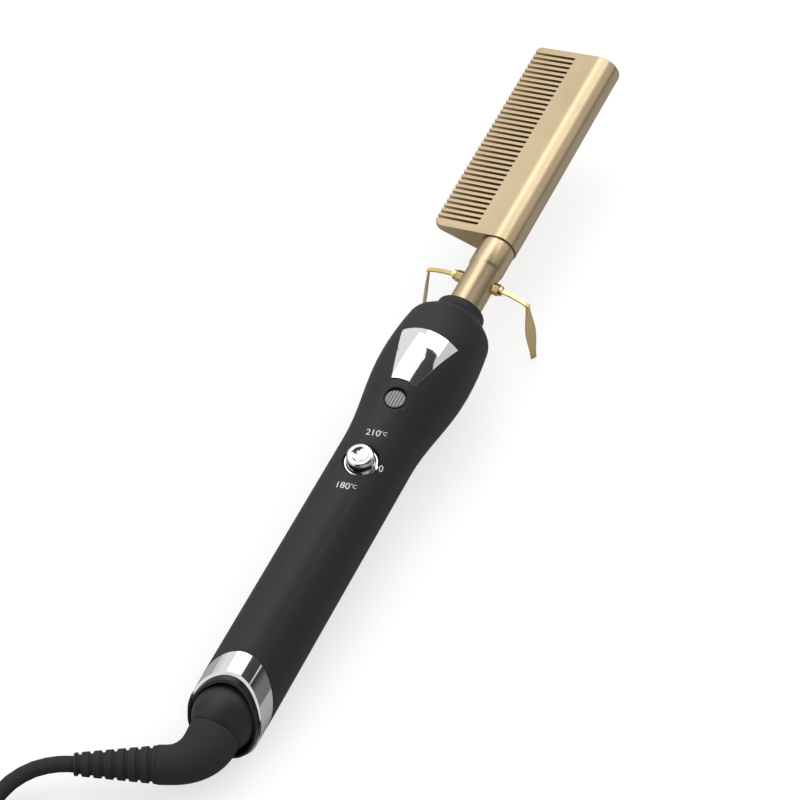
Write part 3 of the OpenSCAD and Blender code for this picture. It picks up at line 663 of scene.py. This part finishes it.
@dataclass
class Lens:
    """The ribs moulded on the pilot lamp's lens, coloured light grey as a painted highlight. Sizes
    in millimetres in the own frame.
    """

    y: float = 129.5
    top: float = 15.633
    radius: float = 3.7
    rib_count: int = 6
    rib_step: float = 1.15
    rib_r: float = 0.3
    rib_sides: int = 16
    sink: float = 0.06
    sharp_deg: float = 40.0

    def tree(self) -> bpy.types.NodeTree:
        """Builds the node tree that sets bars of the lens's width side by side."""
        tree = bpy.data.node_groups.new("lens_ribs", "GeometryNodeTree")
        face = tree.interface
        face.new_socket("Count", in_out="INPUT", socket_type="NodeSocketInt")
        face.new_socket("Step", in_out="INPUT", socket_type="NodeSocketFloat")
        face.new_socket("Radius", in_out="INPUT", socket_type="NodeSocketFloat")
        face.new_socket("Sides", in_out="INPUT", socket_type="NodeSocketInt")
        face.new_socket("Finish", in_out="INPUT", socket_type="NodeSocketMaterial")
        face.new_socket("Ribs", in_out="OUTPUT", socket_type="NodeSocketGeometry")
        new = tree.nodes.new
        given = new("NodeGroupInput")
        step = new("ShaderNodeCombineXYZ")
        line = new("GeometryNodeMeshLine")
        bar = new("GeometryNodeMeshCylinder")
        spread = new("GeometryNodeInstanceOnPoints")
        spread.inputs["Rotation"].default_value = (math.pi / 2, 0, 0)
        real = new("GeometryNodeRealizeInstances")
        paint = new("GeometryNodeSetMaterial")
        out = new("NodeGroupOutput")
        link = tree.links.new
        link(given.outputs["Count"], line.inputs["Count"])
        link(given.outputs["Step"], step.inputs["X"])
        link(step.outputs["Vector"], line.inputs["Offset"])
        link(given.outputs["Sides"], bar.inputs["Vertices"])
        link(given.outputs["Radius"], bar.inputs["Radius"])
        link(line.outputs["Mesh"], spread.inputs["Points"])
        link(bar.outputs["Mesh"], spread.inputs["Instance"])
        link(spread.outputs["Instances"], real.inputs["Geometry"])
        link(real.outputs["Geometry"], paint.inputs["Geometry"])
        link(given.outputs["Finish"], paint.inputs["Material"])
        link(paint.outputs["Geometry"], out.inputs["Ribs"])
        return tree

    def build(self, shop: Workshop) -> None:
        """Makes the ribs and trims each to the round lens.

        Args:
            shop: The workshop.
        """
        tree = self.tree()
        carrier = place("rib_carrier", bpy.data.meshes.new("rib_carrier"))
        nodes = carrier.modifiers.new("ribs", "NODES")
        nodes.node_group = tree
        values = {
            "Count": self.rib_count,
            "Step": self.rib_step,
            "Radius": self.rib_r,
            "Sides": self.rib_sides,
            "Finish": RIB_PAINTED_HIGHLIGHT.material(),
        }
        for socket in tree.interface.items_tree:
            if socket.name in values:
                nodes[socket.identifier] = values[socket.name]
        bpy.context.view_layer.update()
        ribs = carrier.evaluated_get(bpy.context.evaluated_depsgraph_get())
        mesh = bpy.data.meshes.new_from_object(ribs)
        bpy.data.objects.remove(carrier)
        middle = self.rib_step * (self.rib_count - 1) / 2
        for vert in mesh.vertices:
            across = vert.co.x - middle
            reach = math.sqrt(max(0.0, self.radius**2 - across**2))
            height = self.top - self.sink + vert.co.z
            vert.co = PLACING.point((across, self.y + vert.co.y * reach, height))
        mesh.shade_smooth()
        mesh.set_sharp_from_angle(angle=math.radians(self.sharp_deg))
        shop.add(mesh, "lens_ribs", Body.COMB, RIB_PAINTED_HIGHLIGHT)


@dataclass
class Comb:
    """The comb's own pieces, dressed or replaced by pieces with rounded edges."""

    plain: tuple[tuple[str, Finish], ...] = (
        # The heat ring's dark brown is painted shade for the shadow line at the head's join.
        ("heat_ring", SHADOW_LINE_BROWN),
        ("neck_mount", CERAMIC),
        ("heater_core", CERAMIC),
        ("heater_sleeve", STEEL),
        ("heater_bead", CERAMIC),
        ("heater_leads", STEEL),
        ("thermal_fuse", STEEL),
        ("control_board", BOARD_GREEN),
        ("board_parts", PART_BLACK),
        ("board_screws", STEEL),
        ("shell_screws", STEEL),
        ("mains_leads", BRASS),
        ("switch_body", PART_BLACK),
        ("switch_shaft", STEEL),
        ("lamp_holder", CERAMIC),
        ("lamp_bulb", NEON),
        ("contact_carrier", CERAMIC),
        ("contact_springs", BRASS),
        ("swivel_hub", CAP_BLACK),
        ("slip_rings", BRASS),
        ("left_clip", STEEL),
        ("right_clip", STEEL),
    )
    soft: tuple[SoftPiece, ...] = (
        SoftPiece("front_shell", Body.COMB, SOFT_TOUCH, 0.12),
        SoftPiece("back_shell", Body.COMB, SOFT_TOUCH, 0.12),
        SoftPiece("neck_tube", Body.COMB, NECK_GOLD, 0.12),
        SoftPiece("comb_head", Body.COMB, SATIN_GOLD, 0.22),
        SoftPiece("knob", Body.KNOB, CHROME, 0.18, 28.0),
        SoftPiece("lamp_lens", Body.COMB, LENS_GREY, 0.25),
        SoftPiece("fan_inlay", Body.COMB, CHROME, 0.28),
        SoftPiece("tail_ring", Body.COMB, CHROME, 0.4),
        SoftPiece("end_cap", Body.COMB, CAP_BLACK, 0.3),
        SoftPiece("swivel_ball", Body.SWIVEL, BALL_BLACK, 0.4, 40.0),
        SoftPiece("stand_bosses", Body.COMB, BRIGHT_GOLD, 0.25),
        SoftPiece("left_leg", Body.LEFT_LEG, BRIGHT_GOLD, 0.28),
        SoftPiece("right_leg", Body.RIGHT_LEG, BRIGHT_GOLD, 0.28),
    )
    boot: SoftPiece = SoftPiece("cord_boot", Body.SWIVEL, CORD_RUBBER, 0.2, 60.0)
    boot_levels: int = 1

    def build(self, shop: Workshop) -> None:
        """Dresses each node.

        Args:
            shop: The workshop.
        """
        for node, finish in self.plain:
            shop.dress(node, finish)
        for piece in self.soft:
            shop.softened(piece)
        boot = shop.softened(self.boot)
        smooth = boot.modifiers.new("smooth", "SUBSURF")
        smooth.levels = self.boot_levels
        smooth.render_levels = self.boot_levels


@dataclass(frozen=True)
class Lamp:
    """A soft lamp that looks at the object, with its power in watts and its sizes in metres."""

    name: str
    at: Point
    power: float
    size: tuple[float, float]

    def build(self) -> None:
        """Makes the lamp."""
        data = bpy.data.lights.new(self.name, "AREA")
        data.energy = self.power
        data.shape = "RECTANGLE"
        data.size, data.size_y = self.size
        turn = (-Vector(self.at)).to_track_quat("-Z", "Y").to_matrix().to_4x4()
        place(self.name, data).matrix_world = Matrix.Translation(self.at) @ turn


@dataclass
class Studio:
    """A white floor and soft light from above, with darker sides that bright metal can show.

    The steps of the surroundings are places on a range from 0 to 1, each with its grey.
    """

    floor_half: float = 6.0
    floor_grey: float = 0.45
    floor_glow: float = 0.62
    lamps: tuple[Lamp, ...] = (
        Lamp("key", (-0.9, 0.3, 1.9), 9.0, (1.6, 1.6)),
        Lamp("fill", (1.3, -1.2, 1.3), 3.0, (1.6, 1.6)),
        Lamp("head_light", (0.0, 0.68, 0.9), 2.5, (0.9, 0.5)),
        Lamp("side_light", (0.527, 0.542, 0.563), 0.85, (0.5, 0.85)),
    )
    sky_light: float = 0.75
    sky_steps: Steps = ((0.12, 0.10), (0.55, 1.0))
    wall_light: float = 0.9
    wall_steps: Steps = (
        (0.0, 0.5),
        (0.07, 1.0),
        (0.35, 1.0),
        (0.41, 0.09),
        (0.8, 0.05),
        (0.9, 0.2),
    )

    def build(self) -> None:
        """Makes the floor, the lamps and the world."""
        self.floor()
        for lamp in self.lamps:
            lamp.build()
        self.world()
        bpy.context.scene.view_settings.view_transform = "Standard"

    def floor(self) -> None:
        """Makes the floor, white to the camera but with the object's shadow."""
        mesh = bpy.data.meshes.new("floor")
        h = self.floor_half
        mesh.from_pydata([(-h, -h, 0), (h, -h, 0), (h, h, 0), (-h, h, 0)], [], [(0, 1, 2, 3)])
        floor = place("floor", mesh)
        made = bpy.data.materials.new("white_floor")
        made.use_nodes = True
        tree = made.node_tree
        tree.nodes.clear()
        diffuse = tree.nodes.new("ShaderNodeBsdfDiffuse")
        diffuse.inputs["Color"].default_value = (*[self.floor_grey] * 3, 1)
        glow = tree.nodes.new("ShaderNodeEmission")
        rays = tree.nodes.new("ShaderNodeLightPath")
        share = tree.nodes.new("ShaderNodeMath")
        share.operation = "MULTIPLY"
        share.inputs[1].default_value = self.floor_glow
        both = tree.nodes.new("ShaderNodeAddShader")
        out = tree.nodes.new("ShaderNodeOutputMaterial")
        tree.links.new(rays.outputs["Is Camera Ray"], share.inputs[0])
        tree.links.new(share.outputs[0], glow.inputs["Strength"])
        tree.links.new(diffuse.outputs[0], both.inputs[0])
        tree.links.new(glow.outputs[0], both.inputs[1])
        tree.links.new(both.outputs[0], out.inputs["Surface"])
        mesh.materials.append(made)

    def world(self) -> None:
        """Makes the surroundings.

        They are white to the camera, a soft sky to most rays, and a lit wall to reflections.
        """
        world = bpy.data.worlds.new("surroundings")
        bpy.context.scene.world = world
        world.use_nodes = True
        tree = world.node_tree
        tree.nodes.clear()
        texture = tree.nodes.new("ShaderNodeTexCoord")
        split = tree.nodes.new("ShaderNodeSeparateXYZ")
        tree.links.new(texture.outputs["Generated"], split.inputs["Vector"])
        sky = self.background(tree, split.outputs["Z"], self.sky_steps, self.sky_light)
        across = tree.nodes.new("ShaderNodeMapRange")
        across.inputs["From Min"].default_value = -1.0
        tree.links.new(split.outputs["X"], across.inputs["Value"])
        wall = self.background(tree, across.outputs["Result"], self.wall_steps, self.wall_light)
        white = tree.nodes.new("ShaderNodeBackground")
        rays = tree.nodes.new("ShaderNodeLightPath")
        shiny = tree.nodes.new("ShaderNodeMixShader")
        pick = tree.nodes.new("ShaderNodeMixShader")
        out = tree.nodes.new("ShaderNodeOutputWorld")
        tree.links.new(rays.outputs["Is Glossy Ray"], shiny.inputs["Fac"])
        tree.links.new(sky.outputs[0], shiny.inputs[1])
        tree.links.new(wall.outputs[0], shiny.inputs[2])
        tree.links.new(rays.outputs["Is Camera Ray"], pick.inputs["Fac"])
        tree.links.new(shiny.outputs[0], pick.inputs[1])
        tree.links.new(white.outputs[0], pick.inputs[2])
        tree.links.new(pick.outputs[0], out.inputs["Surface"])

    @staticmethod
    def background(
        tree: bpy.types.NodeTree, value: bpy.types.NodeSocket, steps: Steps, strength: float
    ) -> bpy.types.Node:
        """Makes a grey background that changes with one value.

        Args:
            tree: The world's node tree.
            value: The value, from 0 to 1.
            steps: Places on the value's range, each with its grey.
            strength: The strength of white.

        Returns:
            The background shader node.
        """
        ramp = tree.nodes.new("ShaderNodeValToRGB")
        marks = ramp.color_ramp.elements
        while len(marks) < len(steps):
            marks.new(1.0)
        for mark, (at, grey) in zip(marks, steps):
            mark.position = at
            mark.color = (grey, grey, grey, 1)
        shader = tree.nodes.new("ShaderNodeBackground")
        shader.inputs["Strength"].default_value = strength
        tree.links.new(value, ramp.inputs["Fac"])
        tree.links.new(ramp.outputs["Color"], shader.inputs["Color"])
        return shader


def main() -> None:
    """Builds the scene, camera and cord first."""
    logging.basicConfig(level=logging.INFO, format="%(name)s: %(message)s")
    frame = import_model()
    shop = Workshop(frame)
    CombCamera().build()
    Cord().build(shop)
    Comb().build(shop)
    Marks().build(shop)
    Lens().build(shop)
    Studio().build()


if __name__ == "__main__":
    main()
